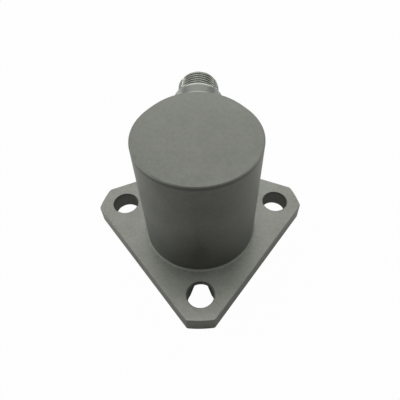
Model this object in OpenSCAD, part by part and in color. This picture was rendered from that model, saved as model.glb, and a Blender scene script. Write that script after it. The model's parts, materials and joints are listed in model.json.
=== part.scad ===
// Piezoelectric pressure transducer for three screws.
// A steel cup with a three-cornered flange carries a threaded connector on its side.
// Inside, a diaphragm presses on a preloaded crystal stack that is balanced against vibration.
// Millimetres. The origin is on the body's axis in the plane of the flange's underside.
// +Z runs up the body, +Y points the way the connector leaves, and the single front lobe is at -Y.

/* [Flange] */
// Thickness of the flange
flange_t = 5.2; // [4.5:0.1:7]
// Distance from the axis to the short front edge, at its middle
front_edge = 29.0; // [27:0.1:32]
// Distance from the axis to each long front edge
long_edge = 20.1; // [19:0.1:21]
// Angle between the front and the square to each long edge
long_edge_angle = 53.15; // [50:0.05:56]
// Distance from the axis to the square tangent of each short side edge
side_edge = 30.3; // [28:0.1:33]
// Angle between the back and the square to each side edge
side_edge_angle = 76.75; // [74:0.05:80]
// Distance from the axis to each back edge
back_edge = 22.9; // [21:0.1:24]
// Angle between the back and the square to each back edge
back_edge_angle = 23.15; // [20:0.05:26]
// Radius of the four side corners
side_corner_r = 1.6; // [0.5:0.1:3]
// Radius of the two front corners
front_corner_r = 0.8; // [0.2:0.1:2]
// Radius of the rear corner
back_corner_r = 3.0; // [1:0.1:5]

/* [Mounting holes] */
// Bore of the three screw holes
hole_d = 7.0; // [5.5:0.1:8]
// Distance from the axis to the two side holes
side_hole_reach = 23.45; // [22:0.05:25]
// Angle between the back and each side hole
side_hole_angle = 70.8; // [68:0.05:74]
// Distance from the axis to the front hole
front_hole_reach = 22.05; // [21:0.05:23.5]
// Metal left above the relief under the front hole
relief_roof = 1.35; // [0.8:0.05:3]
// How far the relief runs from the front hole towards the axis
relief_reach = 3.9; // [2:0.1:5]
// Width of the relief where it starts in the hole
relief_start_d = 6.7; // [4:0.1:7]
// Width of the relief at its narrow end
relief_end_d = 4.0; // [2:0.1:5]

/* [Body] */
// Outer diameter of the body
body_d = 30.0; // [28:0.1:33]
// Height of the body above the flange
body_h = 32.9; // [30:0.1:40]
// Thickness of the body's closed top
top_wall = 3.5; // [2.8:0.1:4.5]
// Width of the shoulder inside that the reaction plate seats on
shoulder_w = 1.5; // [1.2:0.1:2]
// Bevel on the rim of the top face
top_bevel = 0.3; // [0.1:0.05:1]
// How far the body swells out towards the connector
bulge_out = 1.0; // [0.3:0.1:1.4]
// Diameter of the round that forms this bulge
bulge_d = 26.0; // [22:0.5:27]
// How far the bulge keeps its width below the connector's axis
bulge_drop = 8.0; // [7.2:0.1:10]
// Height over which it fades into the wall below that
bulge_fade = 6.0; // [2:0.5:8]
// Fillet where the body meets the flange
base_fillet = 0.6; // [0.2:0.1:1.5]

/* [Diaphragm] */
// Width of the step in the underside that the diaphragm's rim seats on
seat_w = 1.5; // [1:0.1:2.2]
// Gap between the recess and the pieces in it
seat_gap = 0.05; // [0.02:0.01:0.1]
// Thickness of the weld ring under the diaphragm
ring_t = 1.35; // [1:0.05:2]
// How far the weld ring reaches inwards past that step
ring_lip = 0.5; // [0.2:0.1:0.8]
// Thickness of the diaphragm sheet
sheet_t = 0.25; // [0.15:0.05:0.35]
// Diameter of the flat middle of the diaphragm
flat_d = 9.6; // [8:0.1:11]
// Number of waves between the flat middle and the rim
wave_count = 4; // [4:2:8]
// Flat land between the last wave and the ring's bore
wave_land = 0.2; // [0.1:0.05:0.6]

/* [Thrust plate and sleeve] */
// How far the boss that rests on the diaphragm stays inside its flat middle
thrust_inset = 0.4; // [0.2:0.1:1]
// Height of that boss
thrust_boss_h = 1.4; // [1.1:0.1:2]
// Thickness of the plate that carries the sleeve
thrust_disc_t = 1.0; // [0.6:0.1:1.6]
// Height of the steps that centre the sleeve at both ends
step_h = 0.8; // [0.4:0.1:1.2]
// Gap between the strips beside the stack and the preload sleeve
strip_gap = 1.0; // [0.6:0.1:1.5]
// Wall of the preload sleeve
sleeve_wall = 0.4; // [0.2:0.05:0.5]
// Gap between a centring step and the sleeve
step_gap = 0.03; // [0.01:0.01:0.06]

/* [Crystal stack] */
// Diameter of the crystals, electrodes and insulators
stack_d = 10.0; // [8.6:0.1:10.4]
// Thickness of one crystal
crystal_t = 1.4; // [0.8:0.1:1.8]
// Thickness of one electrode
electrode_t = 0.2; // [0.1:0.05:0.3]
// Thickness of an insulator
insulator_t = 1.0; // [0.6:0.1:1.4]
// How far the tabs stand out of the stack
tab_out = 0.6; // [0.3:0.05:0.7]
// Width of the tabs and of the strips that join them
strip_w = 1.6; // [0.8:0.1:2]
// Thickness of those strips
strip_t = 0.3; // [0.2:0.05:0.4]
// How far the strips stop short of the reaction plate
strip_short = 0.3; // [0.1:0.05:0.6]

/* [Reaction plate] */
// Thickness of the plate above its step
reaction_t = 3.0; // [2.5:0.1:4]
// Gap between the lower bore and the pieces in it
bore_gap = 0.05; // [0.02:0.01:0.1]
// Height of the ring nut that holds the plate
nut_h = 3.0; // [2:0.1:5]
// Wall of the ring nut
nut_wall = 1.55; // [1.2:0.05:2]
// Gap between the ring nut and the sleeve
nut_gap = 0.6; // [0.3:0.1:1]
// Width of the two spanner slots in the nut
nut_slot_w = 2.0; // [1:0.1:3]
// Depth of those slots
nut_slot_depth = 1.2; // [0.6:0.1:1.8]
// Diameter of the dowel that sets the plate's angle
dowel_d = 0.9; // [0.6:0.05:1]
// Length of the dowel
dowel_l = 3.6; // [2:0.1:4.8]

/* [Balance stage] */
// Gap between the balance stage and the ceramic tubes beside it
balance_gap = 0.4; // [0.2:0.1:0.8]
// Thickness of the balance crystal
balance_crystal_t = 1.2; // [0.8:0.1:1.6]
// Thickness of the two balance insulators
balance_insulator_t = 0.8; // [0.6:0.1:1.2]
// Height of the seismic mass
mass_h = 3.5; // [2:0.1:4.5]
// Thread diameter of the screw through the balance stage
screw_d = 2.5; // [2:0.1:3]
// Gap between the screw and the bores that it passes
screw_gap = 0.2; // [0.1:0.05:0.4]
// Length of thread in the reaction plate
screw_grip = 2.2; // [1.5:0.1:3.4]
// Diameter of the screw's head
screw_head_d = 4.6; // [4:0.1:5]
// Height of the screw's head
screw_head_h = 1.5; // [1:0.1:1.8]
// Hexagon socket in the screw's head
screw_key = 2.0; // [1.5:0.1:2.2]
// Thickness of the washer under the head
washer_t = 0.4; // [0.2:0.05:0.6]
// Diameter of the washer
washer_d = 5.6; // [5.2:0.1:6.4]

/* [Leads] */
// Diameter of the lead wires
lead_d = 0.7; // [0.4:0.05:0.8]
// Gap between a lead and its ceramic tube
lead_gap = 0.05; // [0.02:0.01:0.08]
// Wall of the ceramic tubes
tube_wall = 0.35; // [0.2:0.05:0.4]
// Gap between a ceramic tube and its hole
tube_gap = 0.05; // [0.02:0.01:0.08]
// How far the tubes stand above the reaction plate
tube_out = 0.5; // [0.2:0.05:0.7]

/* [Connector] */
// Depth of the connector's axis below the top face
connector_depth = 7.8; // [7.5:0.1:9]
// Diameter of the collar and of the boss that it is welded to
collar_d = 14.0; // [13:0.1:14.6]
// How far the boss stands out of the bulge
boss_out = 1.0; // [0.8:0.1:2.4]
// Length of the collar up to the shoulder behind the thread
collar_l = 4.35; // [3:0.05:7]
// Length from that shoulder to the open end
thread_l = 7.25; // [5:0.05:10]
// Outer diameter of the thread
thread_d = 11.11; // [10.6:0.01:12]
// Bevel at the start of the thread
thread_bevel = 0.5; // [0.2:0.1:0.8]
// Width of the groove between the thread and the shoulder
relief_w = 0.8; // [0.4:0.1:1.5]
// Depth of that groove
relief_cut = 0.555; // [0.2:0.005:0.7]
// Rounding on the edge of the shoulder
shoulder_round = 0.4; // [0.1:0.05:0.8]
// Diameter of the spigot inside the boss
spigot_d = 11.0; // [10:0.1:11.6]
// Gap between the spigot and the boss
spigot_gap = 0.05; // [0.02:0.01:0.1]
// How far the spigot's inner end stays back from the cavity
spigot_back = 1.2; // [0.4:0.1:3]
// Depth of the weld bead between the boss and the collar
weld_depth = 0.4; // [0.2:0.05:0.6]
// How far the bead stands proud
weld_proud = 0.08; // [0.02:0.02:0.15]

/* [Contacts] */
// Wall between the groove and the socket
socket_wall = 0.8; // [0.5:0.05:1.2]
// Depth of the open socket up to its insulator
socket_depth = 6.3; // [5:0.05:8]
// Thickness of the socket's insulator
socket_insulator_t = 1.5; // [1:0.1:2.5]
// Wall of the shell behind the socket
spigot_wall = 1.9; // [1.4:0.1:2.4]
// Length of the glass seal
seal_l = 3.5; // [2:0.1:5]
// Diameter of the two contact pins
contact_d = 1.0; // [0.6:0.05:1.2]
// Distance between the two pins
contact_pitch = 3.4; // [2.6:0.1:3.8]
// How far the pins stand out of the insulator
contact_out = 4.4; // [2:0.1:4.8]
// How far the pins stand out of the spigot towards the leads
contact_tail = 1.4; // [0.8:0.1:2]

/* [Hidden] */
$fn = 96;
cut = 1;
// What a rounding stands proud of the edges that it joins, so that it crosses them cleanly
swell = 0.01;

// Heights above the flange's underside
body_top = flange_t + body_h;
sheet_z = ring_t;
seat_depth = ring_t + sheet_t;
boss_z = seat_depth;
disc_z = boss_z + thrust_boss_h;
sleeve_z = disc_z + thrust_disc_t;
stack_z = sleeve_z + step_h;
first_electrode_z = stack_z + insulator_t;
layer = electrode_t + crystal_t;
last_electrode_z = first_electrode_z + 4 * layer;
upper_insulator_z = last_electrode_z + electrode_t;
step_z = upper_insulator_z + insulator_t;
strip_top = step_z - strip_short;
reaction_z = step_z + step_h;
reaction_top = reaction_z + reaction_t;
cavity_top = body_top - top_wall;

// Heights of the balance stage
low_electrode_z = reaction_top + balance_insulator_t;
balance_crystal_z = low_electrode_z + electrode_t;
high_electrode_z = balance_crystal_z + balance_crystal_t;
high_insulator_z = high_electrode_z + electrode_t;
mass_z = high_insulator_z + balance_insulator_t;
washer_z = mass_z + mass_h;
screw_head_z = washer_z + washer_t;

// Places across the body, from the stack outwards
tab_reach = stack_d / 2 + tab_out;
lead_x = tab_reach + strip_t / 2;
sleeve_bore_d = 2 * (tab_reach + strip_t + strip_gap);
sleeve_d = sleeve_bore_d + 2 * sleeve_wall;
nut_bore_d = sleeve_d + 2 * nut_gap;
nut_d = nut_bore_d + 2 * nut_wall;
lower_bore_d = nut_d + 2 * bore_gap;
upper_bore_d = lower_bore_d - 2 * shoulder_w;
seat_d = lower_bore_d + 2 * seat_w;
ring_bore_d = lower_bore_d - 2 * ring_lip;
wave_w = ((ring_bore_d - flat_d) / 2 - wave_land) / wave_count;
thrust_boss_d = flat_d - 2 * thrust_inset;
tube_r = lead_d / 2 + lead_gap + tube_wall;
tube_top = reaction_top + tube_out;
balance_d = 2 * (lead_x - tube_r - balance_gap);
dowel_reach = (upper_bore_d + lower_bore_d) / 4;

// Places along the connector, from the body's axis outwards
connector_z = body_top - connector_depth;
spigot_reach = upper_bore_d / 2 + spigot_back;
boss_reach = body_d / 2 + bulge_out + boss_out;
shoulder_reach = boss_reach + collar_l;
end_reach = shoulder_reach + thread_l;
relief_d = thread_d - 2 * relief_cut;
socket_d = relief_d - 2 * socket_wall;
seal_d = spigot_d - 2 * spigot_wall;
insulator_face = end_reach - socket_depth;
socket_floor = insulator_face - socket_insulator_t;
contact_tip = insulator_face + contact_out;
contact_end = spigot_reach - contact_tail;

// The three lobes end on one round, whose centre lies a little behind the body's axis
lobe_shift = (side_edge - front_edge) / (1 + cos(side_edge_angle));
lobe_r = front_edge + lobe_shift;
lobe_centre = [0, lobe_shift];

// Edges of the flange from the right back edge round to the left one. Each has the angle of its
// square from +X, its distance, the radius of the corner after it, and whether it ends a lobe.
flange_edges = [
    [90 - back_edge_angle, back_edge, side_corner_r, false],
    [90 - side_edge_angle, side_edge, side_corner_r, true],
    [long_edge_angle - 90, long_edge, front_corner_r, false],
    [-90, front_edge, front_corner_r, true],
    [-90 - long_edge_angle, long_edge, side_corner_r, false],
    [90 + side_edge_angle, side_edge, side_corner_r, true],
    [90 + back_edge_angle, back_edge, back_corner_r, false],
];

function toward(angle) = [cos(angle), sin(angle)];
function edge_after(i) = (i + 1) % len(flange_edges);
function edge_before(i) = (i + len(flange_edges) - 1) % len(flange_edges);

// Point that lies d1 along the square at angle a1 and d2 along the square at angle a2
function crossing(a1, d1, a2, d2) =
    [d1 * sin(a2) - d2 * sin(a1), d2 * cos(a1) - d1 * cos(a2)] / sin(a2 - a1);

// Centre of the rounding, of radius r, between a straight edge and the lobes' round.
// way is 1 or -1, for the side of the edge's square on which the lobe lies.
function lobe_corner(edge, r, way) =
    let (foot = (edge[1] - r) * toward(edge[0]), along = toward(edge[0] + 90))
    let (middle = along * lobe_centre, back = foot - lobe_centre)
    foot + (middle + way * sqrt(middle ^ 2 - back * back + (lobe_r - r) ^ 2)) * along;

// Centre of the rounding between edge i and the next
function corner_centre(i) =
    let (one = flange_edges[i], two = flange_edges[edge_after(i)], r = one[2])
    one[3] ? lobe_corner(two, r, 1)
    : two[3] ? lobe_corner(one, r, -1)
    : crossing(one[0], one[1] - r, two[0], two[1] - r);

// Square of edge k where the rounding after edge i runs into it
function square_at(i, k) =
    flange_edges[k][3] ? (corner_centre(i) - lobe_centre) / norm(corner_centre(i) - lobe_centre)
    : toward(flange_edges[k][0]);

module flange_outline() {
    polygon([
        for (i = [0 : len(flange_edges) - 1])
            for (k = [i, edge_after(i)])
                corner_centre(i) + flange_edges[i][2] * square_at(i, k)
    ]);
    for (i = [0 : len(flange_edges) - 1]) {
        translate(corner_centre(i))
            circle(r = flange_edges[i][2] + swell);
        if (flange_edges[i][3])
            intersection() {
                translate(lobe_centre)
                    circle(r = lobe_r);
                polygon([
                    lobe_centre,
                    lobe_centre + 2 * lobe_r * square_at(edge_before(i), i),
                    lobe_centre + 2 * lobe_r * square_at(i, i),
                ]);
            }
    }
}

// Half section of the body: a plain wall, a fillet at its foot and a bevel at its rim
module body_section() {
    difference() {
        square([body_d / 2 + base_fillet, body_top]);
        translate([body_d / 2, flange_t + base_fillet])
            square([base_fillet + cut, body_top]);
        translate([body_d / 2 + base_fillet, flange_t + base_fillet])
            circle(r = base_fillet);
        translate([body_d / 2, body_top])
            rotate(45)
                square(top_bevel * sqrt(2), center = true);
    }
}

// Outline of the relief that widens the front hole towards the axis
module relief_outline() {
    lean = asin((relief_start_d - relief_end_d) / 2 / relief_reach);
    side = toward(lean);
    polygon([
        relief_start_d / 2 * side,
        [0, relief_reach] + relief_end_d / 2 * side,
        [0, relief_reach],
        [0, relief_reach] + relief_end_d / 2 * [-side[0], side[1]],
        relief_start_d / 2 * [-side[0], side[1]],
        [0, 0],
    ]);
    translate([0, relief_reach])
        circle(d = relief_end_d + 2 * swell);
}

// Turns what is drawn along +Z to run along +Y on the connector's axis
module on_connector_axis() {
    translate([0, 0, connector_z])
        rotate([-90, 0, 0])
            children();
}

module housing() {
    color("silver")
    difference() {
        union() {
            linear_extrude(flange_t)
                flange_outline();
            rotate_extrude()
                body_section();
            body_bulge();
            on_connector_axis()
                connector_boss();
        }
        translate([0, 0, -cut])
            cylinder(d = seat_d, h = seat_depth + cut);
        cylinder(d = lower_bore_d, h = reaction_top);
        cylinder(d = upper_bore_d, h = cavity_top);
        translate([0, -dowel_reach, reaction_top - cut])
            cylinder(d = dowel_d, h = dowel_l / 2 + cut);
        on_connector_axis()
            cylinder(d = spigot_d + 2 * spigot_gap, h = boss_reach + cut);
        for (side = [-1, 1])
            rotate(90 - side * side_hole_angle)
                translate([side_hole_reach, 0, -cut])
                    cylinder(d = hole_d, h = flange_t + 2 * cut);
        translate([0, -front_hole_reach, -cut]) {
            cylinder(d = hole_d, h = flange_t + 2 * cut);
            linear_extrude(flange_t - relief_roof + cut)
                relief_outline();
        }
    }
}

// Round that makes the wall swell out round the boss; its lower end slopes back into the wall
module body_bulge() {
    low = connector_z - bulge_drop;
    translate([0, body_d / 2 + bulge_out - bulge_d / 2, low]) {
        cylinder(d = bulge_d, h = body_top - top_bevel - low);
        translate([0, 0, body_top - top_bevel - low])
            cylinder(d1 = bulge_d, d2 = bulge_d - 2 * top_bevel, h = top_bevel);
        translate([0, 0, -bulge_fade])
            cylinder(d1 = bulge_d - 2 * bulge_out - 2 * base_fillet, d2 = bulge_d, h = bulge_fade);
    }
}

module connector_boss() {
    cylinder(d = collar_d, h = boss_reach - weld_depth);
    translate([0, 0, boss_reach - weld_depth])
        cylinder(d1 = collar_d, d2 = collar_d - 2 * weld_depth, h = weld_depth);
}

module diaphragm_ring() {
    color("lightsteelblue")
    difference() {
        cylinder(d = seat_d - 2 * seat_gap, h = ring_t);
        translate([0, 0, -cut])
            cylinder(d = ring_bore_d, h = ring_t + 2 * cut);
    }
}

// Half section of the diaphragm: a flat middle, half-round waves and a flat rim
module diaphragm_section() {
    rim = flat_d / 2 + wave_count * wave_w;
    square([flat_d / 2 + sheet_t / 2, sheet_t]);
    translate([rim - sheet_t / 2, 0])
        square([seat_d / 2 - seat_gap - rim + sheet_t / 2, sheet_t]);
    for (i = [0 : wave_count - 1])
        translate([flat_d / 2 + (i + 0.5) * wave_w, sheet_t / 2])
            half_wave(i % 2 == 0 ? -1 : 1);
}

module half_wave(way) {
    intersection() {
        difference() {
            circle(d = wave_w + sheet_t);
            circle(d = wave_w - sheet_t);
        }
        translate([-wave_w, way < 0 ? -wave_w : 0])
            square([2 * wave_w, wave_w]);
    }
}

module diaphragm() {
    color("gainsboro")
    translate([0, 0, sheet_z])
        rotate_extrude()
            diaphragm_section();
}

module thrust_plate() {
    color("lightslategray") {
        translate([0, 0, boss_z])
            cylinder(d = thrust_boss_d, h = thrust_boss_h);
        translate([0, 0, disc_z])
            cylinder(d = sleeve_d, h = thrust_disc_t);
        translate([0, 0, sleeve_z])
            cylinder(d = sleeve_bore_d - 2 * step_gap, h = step_h);
    }
}

module preload_sleeve() {
    color("slategray")
    translate([0, 0, sleeve_z])
        difference() {
            cylinder(d = sleeve_d, h = reaction_z - sleeve_z);
            translate([0, 0, -cut])
                cylinder(d = sleeve_bore_d, h = reaction_z - sleeve_z + 2 * cut);
        }
}

module insulator_disc(z) {
    color("ivory")
    translate([0, 0, z])
        cylinder(d = stack_d, h = insulator_t);
}

module lower_insulator() {
    insulator_disc(stack_z);
}

module upper_insulator() {
    insulator_disc(upper_insulator_z);
}

module crystal(number) {
    color("palegoldenrod")
    translate([0, 0, first_electrode_z + electrode_t + (number - 1) * layer])
        cylinder(d = stack_d, h = crystal_t);
}

module crystal_1() {
    crystal(1);
}

module crystal_2() {
    crystal(2);
}

module crystal_3() {
    crystal(3);
}

module crystal_4() {
    crystal(4);
}

// A disc with one tab, which points to +X or -X
module tabbed_disc(diameter, reach, way) {
    cylinder(d = diameter, h = electrode_t);
    translate([way < 0 ? -reach : 0, -strip_w / 2, 0])
        cube([reach, strip_w, electrode_t]);
}

// Odd electrodes are on the positive strip and even ones on the negative strip
module electrode(number) {
    color("goldenrod")
    translate([0, 0, first_electrode_z + (number - 1) * layer])
        tabbed_disc(stack_d, tab_reach, number % 2 == 1 ? 1 : -1);
}

module electrode_1() {
    electrode(1);
}

module electrode_2() {
    electrode(2);
}

module electrode_3() {
    electrode(3);
}

module electrode_4() {
    electrode(4);
}

module electrode_5() {
    electrode(5);
}

module strip(bottom) {
    color("gold")
    translate([tab_reach, -strip_w / 2, bottom])
        cube([strip_t, strip_w, strip_top - bottom]);
}

module strip_positive() {
    strip(first_electrode_z);
}

module strip_negative() {
    mirror([1, 0, 0])
        strip(first_electrode_z + layer);
}

module reaction_plate() {
    color("darkgray")
    difference() {
        union() {
            translate([0, 0, step_z])
                cylinder(d = sleeve_bore_d - 2 * step_gap, h = step_h);
            translate([0, 0, reaction_z])
                cylinder(d = nut_d, h = reaction_t);
        }
        for (side = [-1, 1])
            translate([side * lead_x, 0, step_z - cut])
                cylinder(r = tube_r + tube_gap, h = step_h + reaction_t + 2 * cut);
        translate([0, 0, reaction_top - screw_grip])
            cylinder(d = screw_d, h = screw_grip + cut);
        translate([0, -dowel_reach, reaction_top - dowel_l / 2])
            cylinder(d = dowel_d, h = dowel_l / 2 + cut);
    }
}

module reaction_nut() {
    color("dimgray")
    translate([0, 0, reaction_z - nut_h])
        difference() {
            cylinder(d = nut_d, h = nut_h);
            translate([0, 0, -cut])
                cylinder(d = nut_bore_d, h = nut_h + 2 * cut);
            translate([-nut_slot_w / 2, -lower_bore_d / 2, -cut])
                cube([nut_slot_w, lower_bore_d, nut_slot_depth + cut]);
        }
}

module dowel() {
    color("gray")
    translate([0, -dowel_reach, reaction_top - dowel_l / 2])
        cylinder(d = dowel_d, h = dowel_l);
}

// A washer shape of the balance stage
module balance_ring(z, h) {
    translate([0, 0, z])
        difference() {
            cylinder(d = balance_d, h = h);
            translate([0, 0, -cut])
                cylinder(d = screw_d + 2 * screw_gap, h = h + 2 * cut);
        }
}

module balance_electrode(z, way) {
    translate([0, 0, z])
        difference() {
            tabbed_disc(balance_d, lead_x - lead_d / 2, way);
            translate([0, 0, -cut])
                cylinder(d = screw_d + 4 * screw_gap, h = electrode_t + 2 * cut);
        }
}

module lower_balance_insulator() {
    color("linen")
    balance_ring(reaction_top, balance_insulator_t);
}

module lower_balance_electrode() {
    color("goldenrod")
    balance_electrode(low_electrode_z, 1);
}

module balance_crystal() {
    color("khaki")
    balance_ring(balance_crystal_z, balance_crystal_t);
}

module upper_balance_electrode() {
    color("goldenrod")
    balance_electrode(high_electrode_z, -1);
}

module upper_balance_insulator() {
    color("linen")
    balance_ring(high_insulator_z, balance_insulator_t);
}

module seismic_mass() {
    color("darkslategray")
    balance_ring(mass_z, mass_h);
}

module washer() {
    color("lightgray")
    translate([0, 0, washer_z])
        difference() {
            cylinder(d = washer_d, h = washer_t);
            translate([0, 0, -cut])
                cylinder(d = screw_d + screw_gap, h = washer_t + 2 * cut);
        }
}

module balance_screw() {
    color("steelblue")
    difference() {
        union() {
            translate([0, 0, reaction_top - screw_grip])
                cylinder(d = screw_d, h = screw_head_z - reaction_top + screw_grip);
            translate([0, 0, screw_head_z])
                cylinder(d = screw_head_d, h = screw_head_h);
        }
        translate([0, 0, screw_head_z + screw_head_h / 3])
            cylinder(d = screw_key / cos(30), h = screw_head_h, $fn = 6);
    }
}

// A straight of lead along +Z that stops inside the round corner at each end
module lead_run(length, first, last) {
    nick = lead_d / 10;
    translate([0, 0, first ? 0 : nick])
        cylinder(d = lead_d, h = length - (first ? 0 : nick) - (last ? 0 : nick));
    if (!last)
        translate([0, 0, length])
            sphere(d = lead_d + 2 * swell);
}

// The lead rises from its strip, turns in to its pin's line and meets the pin end to end
module lead() {
    contact_x = contact_pitch / 2;
    color("peru") {
        translate([lead_x, 0, strip_top])
            lead_run(connector_z - strip_top, true, false);
        translate([lead_x, 0, connector_z])
            rotate([0, -90, 0])
                lead_run(lead_x - contact_x, false, false);
        translate([contact_x, 0, connector_z])
            rotate([-90, 0, 0])
                lead_run(contact_end, false, true);
    }
}

module lead_positive() {
    lead();
}

module lead_negative() {
    mirror([1, 0, 0])
        lead();
}

module lead_tube() {
    color("white")
    translate([lead_x, 0, step_z])
        difference() {
            cylinder(r = tube_r, h = tube_top - step_z);
            translate([0, 0, -cut])
                cylinder(r = tube_r - tube_wall, h = tube_top - step_z + 2 * cut);
        }
}

module lead_tube_positive() {
    lead_tube();
}

module lead_tube_negative() {
    mirror([1, 0, 0])
        lead_tube();
}

// Half section of the shell, with the connector's axis upright
module shell_section() {
    difference() {
        polygon([
            [0, spigot_reach],
            [spigot_d / 2, spigot_reach],
            [spigot_d / 2, boss_reach],
            [collar_d / 2 - weld_depth, boss_reach],
            [collar_d / 2, boss_reach + weld_depth],
            [collar_d / 2, shoulder_reach - shoulder_round],
            [collar_d / 2 - shoulder_round, shoulder_reach],
            [relief_d / 2, shoulder_reach],
            [relief_d / 2, shoulder_reach + relief_w],
            [thread_d / 2, shoulder_reach + relief_w + (thread_d - relief_d) / 2],
            [thread_d / 2, end_reach - thread_bevel],
            [thread_d / 2 - thread_bevel, end_reach],
            [0, end_reach],
        ]);
        translate([-cut, spigot_reach - cut])
            square([seal_d / 2 + cut, end_reach]);
        translate([-cut, socket_floor])
            square([socket_d / 2 + cut, end_reach]);
    }
    translate([collar_d / 2 - shoulder_round, shoulder_reach - shoulder_round])
        circle(r = shoulder_round);
}

module connector_shell() {
    color("gray")
    on_connector_axis()
        rotate_extrude()
            shell_section();
}

module connector_weld() {
    color("lightgray")
    on_connector_axis()
        rotate_extrude()
            polygon([
                [collar_d / 2 - weld_depth, boss_reach],
                [collar_d / 2, boss_reach - weld_depth],
                [collar_d / 2 + weld_proud, boss_reach - weld_depth / 2],
                [collar_d / 2 + weld_proud, boss_reach + weld_depth / 2],
                [collar_d / 2, boss_reach + weld_depth],
            ]);
}

// A disc with two holes for the pins
module pin_disc(diameter, from, length) {
    on_connector_axis()
        difference() {
            translate([0, 0, from])
                cylinder(d = diameter, h = length);
            for (side = [-1, 1])
                translate([side * contact_pitch / 2, 0, from - cut])
                    cylinder(d = contact_d, h = length + 2 * cut);
        }
}

module glass_seal() {
    color("seagreen")
    pin_disc(seal_d, socket_floor - seal_l, seal_l);
}

module socket_insulator() {
    color("snow")
    pin_disc(socket_d, socket_floor, socket_insulator_t);
}

module contact() {
    color("gold")
    on_connector_axis()
        translate([contact_pitch / 2, 0, contact_end]) {
            cylinder(d = contact_d, h = contact_tip - contact_end - contact_d / 2);
            translate([0, 0, contact_tip - contact_end - contact_d / 2])
                sphere(d = contact_d);
        }
}

module contact_positive() {
    contact();
}

module contact_negative() {
    mirror([1, 0, 0])
        contact();
}

housing();
diaphragm_ring();
diaphragm();
thrust_plate();
preload_sleeve();
lower_insulator();
upper_insulator();
crystal_1();
crystal_2();
crystal_3();
crystal_4();
electrode_1();
electrode_2();
electrode_3();
electrode_4();
electrode_5();
strip_positive();
strip_negative();
reaction_plate();
reaction_nut();
dowel();
lower_balance_insulator();
lower_balance_electrode();
balance_crystal();
upper_balance_electrode();
upper_balance_insulator();
seismic_mass();
washer();
balance_screw();
lead_positive();
lead_negative();
lead_tube_positive();
lead_tube_negative();
connector_shell();
connector_weld();
glass_seal();
socket_insulator();
contact_positive();
contact_negative();
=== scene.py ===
"""Looks of a piezoelectric pressure transducer: a blasted steel body on a three-cornered flange.

The housing, the connector shell and the weld are rebuilt here with rounded edges, a thread and
ripples. Every other piece is the CAD solid with a better finish. Sizes are in millimetres until
a mesh is closed, and the axes are those of the CAD frame.
"""

import json
from math import acos, asin, atan2, cos, exp, hypot, log, pi, radians, sin, sqrt

import bmesh
import bpy
from mathutils import Matrix, Vector
from mathutils.geometry import delaunay_2d_cdt


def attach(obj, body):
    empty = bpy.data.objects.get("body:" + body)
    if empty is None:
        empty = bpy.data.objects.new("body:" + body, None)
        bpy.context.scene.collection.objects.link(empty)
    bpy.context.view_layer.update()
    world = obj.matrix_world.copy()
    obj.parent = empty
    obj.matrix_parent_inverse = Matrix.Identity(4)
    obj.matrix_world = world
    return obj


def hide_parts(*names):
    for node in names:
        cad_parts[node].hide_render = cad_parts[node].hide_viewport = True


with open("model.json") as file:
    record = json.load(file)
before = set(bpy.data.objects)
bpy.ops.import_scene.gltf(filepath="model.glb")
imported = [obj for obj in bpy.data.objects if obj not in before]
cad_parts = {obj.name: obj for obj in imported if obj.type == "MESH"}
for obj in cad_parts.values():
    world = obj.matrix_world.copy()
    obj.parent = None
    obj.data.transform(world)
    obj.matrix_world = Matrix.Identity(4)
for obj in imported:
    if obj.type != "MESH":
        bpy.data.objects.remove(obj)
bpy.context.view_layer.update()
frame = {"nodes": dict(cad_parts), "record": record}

MM = 0.001

# Flange: how far its edges lie from the body's axis, and the angles of their squares from +X
FLANGE_T = 5.2
BACK_EDGE, SIDE_EDGE, LONG_EDGE, FRONT_EDGE = 22.9, 30.3, 20.1, 29.0
BACK_TURN, SIDE_TURN, LONG_TURN, FRONT_TURN = 66.85, 13.25, -36.85, -90.0
SIDE_CORNER_R, FRONT_CORNER_R, BACK_CORNER_R = 1.6, 0.8, 3.0
EDGE_BREAK = 0.2

# Each edge's turn and distance, the radius of the corner after it, and whether it ends a lobe
FLANGE_EDGES = [
    (BACK_TURN, BACK_EDGE, SIDE_CORNER_R, False),
    (SIDE_TURN, SIDE_EDGE, SIDE_CORNER_R, True),
    (LONG_TURN, LONG_EDGE, FRONT_CORNER_R, False),
    (FRONT_TURN, FRONT_EDGE, FRONT_CORNER_R, True),
    (-180 - LONG_TURN, LONG_EDGE, SIDE_CORNER_R, False),
    (-180 - SIDE_TURN, SIDE_EDGE, SIDE_CORNER_R, True),
    (-180 - BACK_TURN, BACK_EDGE, BACK_CORNER_R, False),
]

# The lobes end on one round, whose centre lies a little behind the body's axis
LOBE_CENTRE = Vector((0.0, (SIDE_EDGE - FRONT_EDGE) / (1 + sin(radians(SIDE_TURN)))))
LOBE_R = FRONT_EDGE + LOBE_CENTRE.y

# Screw holes, and the relief that widens the front one towards the body from below
HOLE_R, HOLE_BEVEL = 3.5, 0.2
SIDE_HOLES = [(-22.1456, 7.7119), (22.1456, 7.7119)]
FRONT_HOLE = (0.0, -22.05)
RELIEF_ROOF = 3.85
RELIEF_REACH, RELIEF_START, RELIEF_END = 3.9, 3.35, 2.0
RELIEF_LEAN = asin((RELIEF_START - RELIEF_END) / RELIEF_REACH)

# Body and its bores
BODY_R, BODY_TOP = 15.0, 38.1
RIM_BREAK, FOOT_FILLET = 0.3, 0.6
SEAT_R, SEAT_DEPTH = 11.0, 1.6
LOWER_BORE_R, UPPER_BORE_R = 9.5, 8.0
SHOULDER_Z, CAVITY_TOP = 17.2, 34.6
DOWEL_R, DOWEL_DEPTH, DOWEL_AT = 0.45, 1.8, (0.0, -8.75)

# Bulge of the wall towards the connector: its round, where its full width ends and how it fades
BULGE_OUT, BULGE_R = 1.0, 13.0
BULGE_LOW, BULGE_FADE, BULGE_SINK = 22.3, 6.0, 1.6
BULGE_SOFT = 0.25

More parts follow.
